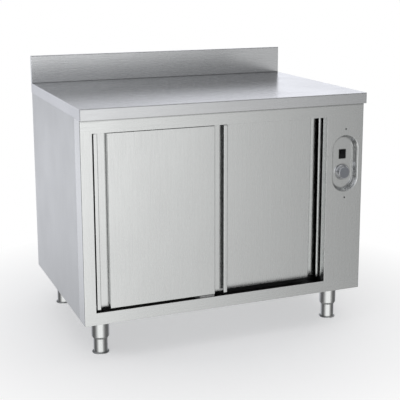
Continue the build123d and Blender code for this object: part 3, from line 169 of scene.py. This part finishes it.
def paint_crease_shade(mat, colour, reach, hidden):
    """The colour with painted shade: darker, towards black, where other surfaces stand close.

    reach: how close, in metres, first for a face along Y or Z and then for one along X.
    hidden: where between SHUT and OPEN the metal is black and where it has its full colour.
    """
    sideways = maths(mat, "ABSOLUTE", facing(mat, "X"))
    occlusion = node(mat, "ShaderNodeAmbientOcclusion", samples=CREASE_SHADE_SAMPLES)
    feed(mat, occlusion.inputs["Distance"], remap(mat, sideways, *reach, TURNING, SIDEWAYS))
    black, clear = (SHUT + (OPEN - SHUT) * share for share in hidden)
    open_share = maths(mat, "POWER", occlusion.outputs["AO"], CREASE_SHADE_POWER)
    return blend(mat, "RGBA", remap(mat, open_share, 0.0, 1.0, black, clear), PAINTED_SHADE_BLACK, colour)


# ---- finishes -------------------------------------------------------------------------------
# Rates are in cycles per metre and reliefs in millimetres. A tone says how much darker a noise
# makes the colour, a shade what the colour is multiplied by, and a roughness how far either way
# a noise moves it.
BLACK = (0.0, 0.0, 0.0)
STEEL = (0.738, 0.750, 0.743)
# The worktop's steel is a cooler copy: its bluish tint is a painted reflection of the cool lamps.
TOP_STEEL_PAINTED_COOL = (0.737, 0.747, 0.755)
PLAIN_SHINE = 0.5
FINE_RATE = 900.0

GRAIN = {"across": 900.0, "lengthwise": 14.0, "detail": 3.0}
STREAKS = {"across": 170.0, "lengthwise": 5.0, "detail": 2.0}
GRAIN_RELIEF = 0.002
SHEET_SPECKLE_RATE = 190.0
SHEET_CLOUD_RATE = 5.0
STREAK_TONE, SPECKLE_TONE, CLOUD_TONE = 0.025, 0.03, 0.025
GRAIN_ROUGHNESS, CLOUD_ROUGHNESS = 0.04, 0.015
EDGE_ROUGHER = 0.12
# The second number here darkens the sheet along its edges, convex and concave: painted shade.
SHEET_SHADE, SHEET_EDGE_PAINTED_SHADE = 1.03, 0.85
# Reaches, in metres, of the painted shade in creases.
SHEET_CREASE_SHADE = (0.009, 0.035)
CLOSE_CREASE_SHADE = (0.012, 0.012)
WIDE_CREASE_SHADE = (0.05, 0.05)
SHEET_EDGE = 0.0006                  # radius of a bent or cut edge, in metres
FOLD_TURN = 0.002                    # metres in which a fold passes from one roughness to the other

CAST_CLOUD_RATE = 22.0
CAST_SHADES = (0.88, 1.08)
CAST_CLOUD_ROUGHNESS, CAST_FINE_ROUGHNESS = 0.06, 0.03
# A painted highlight along edges, convex and concave: its share, and what it multiplies the colour by.
CAST_HIGHLIGHT, CAST_HIGHLIGHT_SHADE = 0.4, 1.25

MOULDED_CLOUD_RATE = 60.0
MOULDED_SHADES = (0.9, 1.1)
MOULDED_SMOOTHER, MOULDED_ROUGHER = 0.05, 0.07
# A painted highlight along edges: what it multiplies the colour by, and what it adds.
HIGHLIGHT_SHADE, HIGHLIGHT_LIFT = 1.5, 0.02

SILVER_LEVELS = (0.24, 0.30)         # its roughness, from and to
SILVER_TONE = 0.04
SILVER_RELIEF = 0.0003
CAP_FLAT, CAP_ROUNDED = -0.995, -0.97    # the normal's Y component on the cap and past its edge
CAP_ROUGHER = 0.10
SKIRT_METALLIC, CAP_METALLIC = 0.9, 0.25


def finish_surface(mat, colour, rough, relief, relief_mm, normal, metallic=0.0, shine=PLAIN_SHINE):
    """Gives the material its shader, with a fine relief over the normal."""
    bump = node(mat, "ShaderNodeBump")
    feed(mat, bump.inputs["Strength"], 1.0)
    feed(mat, bump.inputs["Distance"], relief_mm / 1000.0)
    feed(mat, bump.inputs["Height"], relief)
    feed(mat, bump.inputs["Normal"], normal)
    shader = node(mat, "ShaderNodeBsdfPrincipled")
    feed(mat, shader.inputs["Base Color"], colour)
    feed(mat, shader.inputs["Roughness"], rough)
    feed(mat, shader.inputs["Metallic"], metallic)
    feed(mat, shader.inputs["Specular IOR Level"], shine)
    feed(mat, shader.inputs["Normal"], bump.outputs["Normal"])
    feed(mat, node(mat, "ShaderNodeOutputMaterial").inputs["Surface"], shader.outputs["BSDF"])
    return mat


def belt_ground(mat, along, across, lengthwise, detail):
    """Noise drawn out along one axis."""
    rates = tuple(lengthwise if axis == along else across for axis in "XYZ")
    return stretched_noise(mat, rates, detail)


def brushed(name, rough, along="Z", colour=STEEL, crease=SHEET_CREASE_SHADE, hidden=(0.0, 1.0),
            edge=SHEET_EDGE, rails=None, fold=None):
    """Sheet metal with a fine belt-ground grain along one axis, streaks, faint clouds, eased edges and
    painted shade.

    crease, hidden: the reach and the limits of the painted shade in its creases.
    rails: the heights below and above which the grain runs along X.
    fold: a height, and the roughness above it.
    """
    mat = new_material(name)
    grain = belt_ground(mat, along, **GRAIN)
    streaks = belt_ground(mat, along, **STREAKS)
    if rails:
        height = height_above_floor(mat)
        below = maths(mat, "LESS_THAN", height, rails[0])
        crosswise = total(mat, below, maths(mat, "GREATER_THAN", height, rails[1]))
        grain = blend(mat, "FLOAT", crosswise, grain, belt_ground(mat, "X", **GRAIN))
        streaks = blend(mat, "FLOAT", crosswise, streaks, belt_ground(mat, "X", **STREAKS))
    speckle = even_noise(mat, SHEET_SPECKLE_RATE)
    clouds = even_noise(mat, SHEET_CLOUD_RATE)
    tone = total(mat, remap(mat, streaks, 0.0, STREAK_TONE), remap(mat, speckle, 0.0, SPECKLE_TONE),
                 remap(mat, clouds, 0.0, CLOUD_TONE))
    base = blend(mat, "RGBA", tone, shaded(colour, SHEET_SHADE), BLACK)
    eased = eased_normal(mat, edge)
    edges = edge_mask(mat, eased)
    # Painted shade along the edges, then in the creases.
    base = blend(mat, "RGBA", edges, base, shaded(colour, SHEET_EDGE_PAINTED_SHADE))
    base = paint_crease_shade(mat, base, crease, hidden)
    if fold:
        turned_at, above = fold
        rough = remap(mat, height_above_floor(mat), rough, above, turned_at - FOLD_TURN, turned_at)
    level = total(mat, rough, remap(mat, grain, -GRAIN_ROUGHNESS, GRAIN_ROUGHNESS),
                  remap(mat, clouds, -CLOUD_ROUGHNESS, CLOUD_ROUGHNESS),
                  maths(mat, "MULTIPLY", edges, EDGE_ROUGHER))
    return finish_surface(mat, base, level, grain, GRAIN_RELIEF, eased, metallic=1.0)


def cast(name, colour, rough, rate, relief_mm, metallic=1.0):
    """Metal or paint without a grain: plated, sprayed or cast, with a painted highlight along its edges."""
    mat = new_material(name)
    fine = even_noise(mat, rate, detail=4.0)
    clouds = even_noise(mat, CAST_CLOUD_RATE)
    dark, light = (shaded(colour, shade) for shade in CAST_SHADES)
    base = blend(mat, "RGBA", remap(mat, fine, 0.0, 1.0), dark, light)
    eased = eased_normal(mat, SMALL_EDGE)
    # Painted highlight along the edges.
    cast_highlight = maths(mat, "MULTIPLY", edge_mask(mat, eased), CAST_HIGHLIGHT)
    base = blend(mat, "RGBA", cast_highlight, base, shaded(colour, CAST_HIGHLIGHT_SHADE))
    level = total(mat, remap(mat, clouds, rough - CAST_CLOUD_ROUGHNESS, rough + CAST_CLOUD_ROUGHNESS),
                  remap(mat, fine, -CAST_FINE_ROUGHNESS, CAST_FINE_ROUGHNESS))
    return finish_surface(mat, base, level, fine, relief_mm, eased, metallic=metallic)


def moulded(name, colour, rough, rate=FINE_RATE, relief_mm=0.01, edge_highlight=0.25, shine=PLAIN_SHINE):
    """Moulded plastic, or wool, with a fine even relief and a painted highlight that lightens its edges."""
    mat = new_material(name)
    fine = even_noise(mat, rate, detail=3.0)
    clouds = remap(mat, even_noise(mat, MOULDED_CLOUD_RATE), 0.0, 1.0)
    dark, light = (shaded(colour, shade) for shade in MOULDED_SHADES)
    base = blend(mat, "RGBA", clouds, dark, light)
    eased = eased_normal(mat, SMALL_EDGE)
    # Painted highlight along the edges, convex and concave.
    highlight_colour = tuple(min(1.0, channel * HIGHLIGHT_SHADE + HIGHLIGHT_LIFT) for channel in colour)
    base = blend(mat, "RGBA", maths(mat, "MULTIPLY", edge_mask(mat, eased), edge_highlight), base, highlight_colour)
    level = remap(mat, fine, rough - MOULDED_SMOOTHER, rough + MOULDED_ROUGHER)
    return finish_surface(mat, base, level, fine, relief_mm, eased, shine=shine)


def silvered(name, cap_colour, skirt_colour):
    """Satin silver lacquer on a moulding; its flat cap is duller and less metallic."""
    mat = new_material(name)
    fine = even_noise(mat, FINE_RATE, detail=3.0)
    cap = remap(mat, facing(mat, "Y"), 1.0, 0.0, CAP_FLAT, CAP_ROUNDED)
    base = blend(mat, "RGBA", cap, skirt_colour, cap_colour)
    base = blend(mat, "RGBA", remap(mat, fine, SILVER_TONE, 0.0), base, BLACK)
    level = total(mat, remap(mat, fine, *SILVER_LEVELS), maths(mat, "MULTIPLY", cap, CAP_ROUGHER))
    metallic = blend(mat, "FLOAT", cap, SKIRT_METALLIC, CAP_METALLIC)
    return finish_surface(mat, base, level, fine, SILVER_RELIEF, eased_normal(mat, SMALL_EDGE), metallic)


# ---- what each piece is finished in ---------------------------------------------------------
SIDES = ("left", "right")
CORNERS = ("front_left", "front_right", "rear_left", "rear_right")
RAIL_GRAIN = 0.035                   # the grain runs along X this far in from the frame's edges
UPSTAND = 0.100
FOLD_DROP = 0.001                    # the worktop's fold ends this far below its top


def dress(finish, *names):
    """Gives these nodes the finish as their only material."""
    for name in names:
        materials = NODES[name].data.materials
        materials.clear()
        materials.append(finish)


def dress_outside():
    frame_low, frame_high = (corner.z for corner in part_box("front_frame"))
    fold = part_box("worktop")[1].z - UPSTAND - FOLD_DROP
    dress(brushed("steel_frame", rough=0.25, crease=(0.009, 0.012),
                  rails=(frame_low + RAIL_GRAIN, frame_high - RAIL_GRAIN)),
          "front_frame")
    # The doors' creases get painted shade; on the rear door it ramps steeply into a crisp dark band beside
    # the front door.
    dress(brushed("steel_front_door", rough=0.25, hidden=(0.1, 0.7)), "left_door_skin")
    dress(brushed("steel_rear_door", rough=0.25, crease=(0.035, 0.035), hidden=(0.25, 0.55)),
          "right_door_skin")
    dress(brushed("steel_side", rough=0.36), *(f"{side}_side_panel" for side in SIDES))
    dress(brushed("steel_top", rough=0.30, along="X", colour=TOP_STEEL_PAINTED_COOL, crease=(0.004, 0.01),
                  fold=(fold, 0.25)),
          "worktop")
    dress(brushed("steel_tube", rough=0.28, crease=(0.006, 0.006)),
          *(f"leg_{corner}" for corner in CORNERS))
    dress(brushed("steel_foot", rough=0.28, crease=CLOSE_CREASE_SHADE),
          *(f"foot_{corner}" for corner in CORNERS))


def dress_controls():
    dress(brushed("steel_pressed", rough=0.18, crease=CLOSE_CREASE_SHADE, edge=0.0008), "control_dish")
    dress(cast("blacked_steel", (0.03, 0.03, 0.032), rough=0.4, rate=FINE_RATE, relief_mm=0.004,
               metallic=0.0),
          "dish_screws")
    dress(silvered("knob_silver", cap_colour=(0.34, 0.355, 0.38), skirt_colour=(0.80, 0.81, 0.83)),
          "knob")
    dress(moulded("switch_lens", (0.006, 0.006, 0.007), rough=0.25, shine=0.25), "rocker")
    dress(moulded("black_plastic", (0.008, 0.008, 0.009), rough=0.42, edge_highlight=0.1, shine=0.25),
          "switch_body", "cable_gland", "thermostat", "safety_thermostat")


def dress_inside():
    # The inside pieces get painted shade over a wide reach, darkening the gaps round and under the doors.
    dress(brushed("steel_inside", rough=0.36, crease=WIDE_CREASE_SHADE),
          "left_door_back", "right_door_back", "liner_left", "partition", "liner_rear")
    dress(brushed("steel_crosswise", rough=0.36, along="X", crease=WIDE_CREASE_SHADE),
          "liner_ceiling", "liner_floor", "shelf", "shelf_bearer_left", "shelf_bearer_right")
    dress(cast("galvanised", (0.64, 0.66, 0.68), rough=0.47, rate=120.0, relief_mm=0.01),
          "worktop_stiffener_front", "worktop_stiffener_rear", "rear_panel", "base_panel", "door_track",
          "heater_duct", "fan_bracket", *(f"{door}_door_hanger_{side}" for door in SIDES for side in SIDES))
    dress(cast("zinc", (0.62, 0.62, 0.60), rough=0.35, rate=600.0, relief_mm=0.01),
          "rear_panel_screws", "leg_screws", "thermostat_spindle",
          *(f"{door}_door_roller_pins" for door in SIDES))
    dress(moulded("nylon", (0.62, 0.62, 0.60), rough=0.5), "bottom_guide", "terminal_block",
          *(f"{door}_door_roller_{side}" for door in SIDES for side in SIDES))
    dress(cast("element", (0.20, 0.18, 0.16), rough=0.55, rate=500.0, relief_mm=0.02), "heating_element")
    dress(cast("aluminium", (0.72, 0.72, 0.73), rough=0.42, rate=700.0, relief_mm=0.02), "fan_wheel")
    dress(cast("motor_paint", (0.03, 0.03, 0.035), rough=0.5, rate=500.0, relief_mm=0.02, metallic=0.0),
          "fan_motor")
    dress(moulded("wool", (0.52, 0.44, 0.26), rough=0.95, rate=420.0, relief_mm=0.8, edge_highlight=0.0),
          "insulation_left", "insulation_rear", "insulation_top")


# ---- floor ----------------------------------------------------------------------------------
NEUTRAL = (1.0, 1.0, 1.0)
COOL = (0.975, 0.985, 1.05)
FLOOR_RADIUS = 14.0
FLOOR_CELLS = 8
FLOOR_CLOUD_RATE = 2.0
FLOOR_SHADES = (0.92, 0.94)
FLOOR_LIFT = 0.42                    # plain white that the floor shows besides the light on it
FLOOR_FADE_FROM = 0.45               # metres from the middle where it starts to turn white
FLOOR_FADE_TO = 1.15                 # and where it has


def floor_finish():
    """Pale paint, faintly clouded, that fades to the white of the backdrop."""
    mat = new_material("studio_floor")
    seen = node(mat, "ShaderNodeLightPath").outputs["Is Camera Ray"]
    clouds = even_noise(mat, FLOOR_CLOUD_RATE, detail=1.0)
    dark, light = (shaded(NEUTRAL, shade) for shade in FLOOR_SHADES)
    paint = node(mat, "ShaderNodeBsdfDiffuse")
    feed(mat, paint.inputs["Color"], blend(mat, "RGBA", clouds, dark, light))
    lift = node(mat, "ShaderNodeEmission")
    feed(mat, lift.inputs["Strength"], maths(mat, "MULTIPLY", seen, FLOOR_LIFT))
    distance = node(mat, "ShaderNodeVectorMath", operation="LENGTH")
    feed(mat, distance.inputs[0], node(mat, "ShaderNodeTexCoord").outputs["Object"])
    fade = remap(mat, distance.outputs["Value"], 0.0, 1.0, FLOOR_FADE_FROM, FLOOR_FADE_TO)
    white = node(mat, "ShaderNodeEmission")
    whole = node(mat, "ShaderNodeMixShader")
    feed(mat, whole.inputs["Fac"], maths(mat, "MULTIPLY", fade, seen))
    feed(mat, whole.inputs[1], add_shaders(mat, paint.outputs["BSDF"], lift.outputs["Emission"]))
    feed(mat, whole.inputs[2], white.outputs["Emission"])
    feed(mat, node(mat, "ShaderNodeOutputMaterial").inputs["Surface"], whole.outputs["Shader"])
    return mat


def make_floor():
    """A floor that takes the object's shadow, casts none and isn't mirrored in its metal."""
    mesh = bpy.data.meshes.new("studio_floor")
    bm = bmesh.new()
    bmesh.ops.create_grid(bm, x_segments=FLOOR_CELLS, y_segments=FLOOR_CELLS, size=FLOOR_RADIUS)
    bm.to_mesh(mesh)
    bm.free()
    mesh.materials.append(floor_finish())
    floor = bpy.data.objects.new("studio_floor", mesh)
    bpy.context.scene.collection.objects.link(floor)
    floor.visible_glossy = False
    floor.visible_shadow = False


# ---- studio light ---------------------------------------------------------------------------
# Soft boxes round the object, in degrees: azimuth from the front towards the right, elevation,
# half width and half height; then colour and strength. Most strengths began as the result of a
# least-squares fit, and the rest were set one by one.
ALL_ROUND = 400                      # a half width that reaches right round the object
SOFT_BOXES = {
    "front_band_left": (-30, -6, 22, 10, NEUTRAL, 0.57),
    "front_band": (-15, -6, 13, 10, NEUTRAL, 0.56),
    "front_band_middle": (8, -6, 13, 10, NEUTRAL, 1.18),
    "front_band_right": (25, -6, 22, 10, NEUTRAL, 0.27),
    "right_low": (82, -8, 20, 12, NEUTRAL, 0.15),
    "front_low_left": (-40, -26, 30, 14, NEUTRAL, 1.09),
    "front_low": (-8, -26, 30, 14, NEUTRAL, 0.37),
    "front_low_middle": (5, -26, 14, 14, NEUTRAL, 0.46),
    "front_low_right": (20, -26, 30, 14, NEUTRAL, 0.32),
    "front_upper_left": (-30, 12, 30, 12, COOL, 1.25),
    "front_high": (0, 42, 60, 18, COOL, 0.20),
    "rear_low": (180, -12, 25, 14, COOL, 0.82),
    "rear_low_left": (-150, -12, 25, 14, COOL, 0.44),
    "right_rear_low": (125, -14, 20, 12, COOL, 0.60),
    "right_rear_band": (130, 9, 20, 9, COOL, 0.44),
    "rear_band": (155, 9, 20, 9, COOL, 1.16),
    "left_window": (-95, 22, 35, 20, COOL, 0.38),
    "high_left": (-70, 48, 45, 20, COOL, 0.40),
    "high_right": (95, 45, 40, 22, NEUTRAL, 0.40),
    "high_rear": (175, 50, 50, 18, COOL, 0.55),
    "overhead": (0, 90, 90, 25, NEUTRAL, 1.30),
    "underneath": (0, -90, ALL_ROUND, 38, NEUTRAL, 0.32),
}
PALE_SHARE = 0.06                    # how much of the white backdrop metal mirrors, besides the boxes


def soft_box(world, azimuth, elevation, centre, height, half_width, half_height, colour, strength):
    """Light from a patch of sky that fades out softly past its half width and half height."""
    turned = maths(world, "SUBTRACT", azimuth, math.radians(centre))
    across = maths(world, "SUBTRACT", maths(world, "COSINE", turned), 1.0)
    across = maths(world, "MULTIPLY", across, 2.0 / math.radians(half_width) ** 2)
    off = maths(world, "SUBTRACT", elevation, math.radians(height))
    off = maths(world, "DIVIDE", off, math.radians(half_height))
    upright = maths(world, "MULTIPLY", maths(world, "MULTIPLY", off, off), -1.0)
    level = maths(world, "EXPONENT", total(world, across, upright))
    light = node(world, "ShaderNodeVectorMath", operation="SCALE")
    feed(world, light.inputs[0], shaded(colour, strength))
    feed(world, light.inputs["Scale"], level)
    return light.outputs["Vector"]


def sky(world):
    """The light of all the soft boxes together."""
    unit = node(world, "ShaderNodeVectorMath", operation="NORMALIZE")
    feed(world, unit.inputs[0], node(world, "ShaderNodeTexCoord").outputs["Generated"])
    right, back, up = (component(world, unit.outputs["Vector"], axis) for axis in "XYZ")
    elevation = maths(world, "ARCSINE", up)
    azimuth = maths(world, "ARCTAN2", right, maths(world, "MULTIPLY", back, -1.0))
    lights = [soft_box(world, azimuth, elevation, *box) for box in SOFT_BOXES.values()]
    lit = lights[0]
    for light in lights[1:]:
        both = node(world, "ShaderNodeVectorMath", operation="ADD")
        feed(world, both.inputs[0], lit)
        feed(world, both.inputs[1], light)
        lit = both.outputs["Vector"]
    return lit


def make_world():
    """Soft boxes that light the object, and a white backdrop that the camera sees instead."""
    world = cleared(bpy.data.worlds.new("studio"))
    bpy.context.scene.world = world
    rays = node(world, "ShaderNodeLightPath").outputs
    boxes = node(world, "ShaderNodeBackground")
    feed(world, boxes.inputs["Color"], sky(world))
    feed(world, boxes.inputs["Strength"], maths(world, "SUBTRACT", 1.0, rays["Is Camera Ray"]))
    mirrored = maths(world, "MULTIPLY", rays["Is Glossy Ray"], PALE_SHARE)
    seen = total(world, mirrored, rays["Is Camera Ray"])
    backdrop = node(world, "ShaderNodeBackground")
    feed(world, backdrop.inputs["Color"], NEUTRAL)
    feed(world, backdrop.inputs["Strength"], maths(world, "MAXIMUM", seen, rays["Is Transmission Ray"]))
    both = add_shaders(world, boxes.outputs["Background"], backdrop.outputs["Background"])
    feed(world, node(world, "ShaderNodeOutputWorld").inputs["Surface"], both)


# ---- camera ---------------------------------------------------------------------------------
CAMERA_AT = (-1.2038, -3.1081, 1.2547)
CAMERA_YAW = 22.47                   # degrees from +Y towards +X
CAMERA_PITCH = -11.4                 # degrees above the horizon
CAMERA_LENS = 85.31                  # millimetres, for the sensor width below
CAMERA_SENSOR = 36.0
CAMERA_SHIFT = (-0.035, -0.1146)
CAMERA_FAR = 100.0


def make_camera():
    data = bpy.data.cameras.new("camera")
    data.sensor_width = CAMERA_SENSOR
    data.lens = CAMERA_LENS
    data.shift_x, data.shift_y = CAMERA_SHIFT
    data.clip_end = CAMERA_FAR
    camera = bpy.data.objects.new("camera", data)
    camera.location = CAMERA_AT
    camera.rotation_euler = (math.radians(90.0 + CAMERA_PITCH), 0.0, math.radians(-CAMERA_YAW))
    bpy.context.scene.collection.objects.link(camera)
    bpy.context.scene.camera = camera


dress_outside()
dress_controls()
dress_inside()
make_floor()
make_world()
make_camera()
bpy.context.scene.view_settings.view_transform = "Standard"
